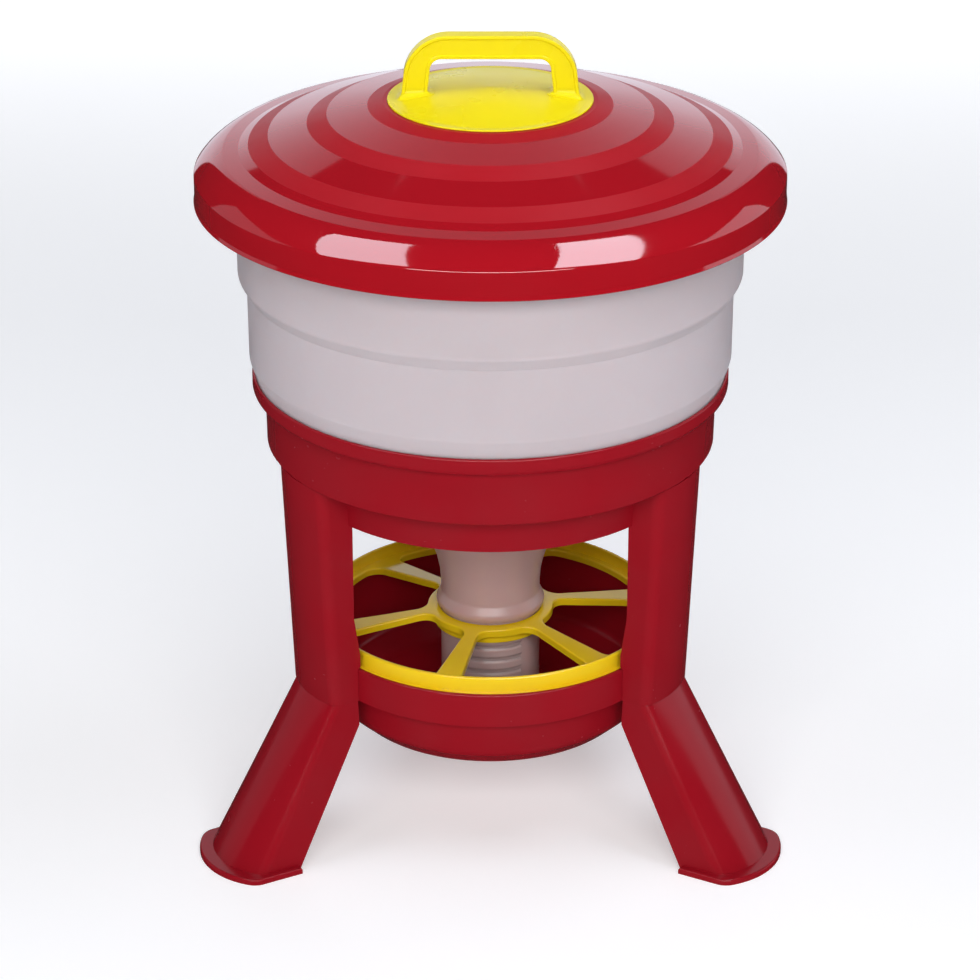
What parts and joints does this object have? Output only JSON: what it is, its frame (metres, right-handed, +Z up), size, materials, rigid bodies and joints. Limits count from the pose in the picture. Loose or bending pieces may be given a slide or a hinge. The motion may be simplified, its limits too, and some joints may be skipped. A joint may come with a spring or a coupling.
{
  "type": "tower feeder",
  "caption": "Poultry tower feeder: a lidded plastic hopper in a stand on splayed legs, with a regulator tube, an anti-waste grid and a feed pan below.",
  "frame": {"origin": "on the tower's axis, in the plane of the feet", "axes": "+Z up the tower's axis; -Y to the front, midway between two legs; the rear leg points along +Y"},
  "size_m": [0.4422, 0.4618, 0.6146],
  "materials": {
    "lid_red": "glossy moulded polypropylene, bright red",
    "stand_red": "glossy moulded polypropylene, deep red",
    "pan_red": "glossy moulded polypropylene, deep red",
    "milky_white": "translucent natural polypropylene, satin",
    "tube_white": "translucent natural polypropylene, satin",
    "bright_yellow": "glossy moulded polypropylene, bright yellow"
  },
  "bodies": {
    "stand": {"stand_frame": "stand_red", "rear_leg": "stand_red", "left_leg": "stand_red", "right_leg": "stand_red", "feed_pan": "pan_red", "feed_grid": "bright_yellow"},
    "hopper": {"hopper": "milky_white"},
    "lid": {"lid": "lid_red", "lid_handle": "bright_yellow"},
    "regulator": {"regulator_tube": "tube_white"}
  },
  "joints": [
    {"name": "hopper_lift", "type": "slide", "parent": "stand", "child": "hopper", "axis": [0, 0, 1], "range_m": [0, 0.18]},
    {"name": "lid_lift", "type": "slide", "parent": "hopper", "child": "lid", "axis": [0, 0, 1], "range_m": [0, 0.06]},
    {"name": "regulator_lift", "type": "slide", "parent": "stand", "child": "regulator", "axis": [0, 0, 1], "range_m": [0, 0.0206]}
  ]
}
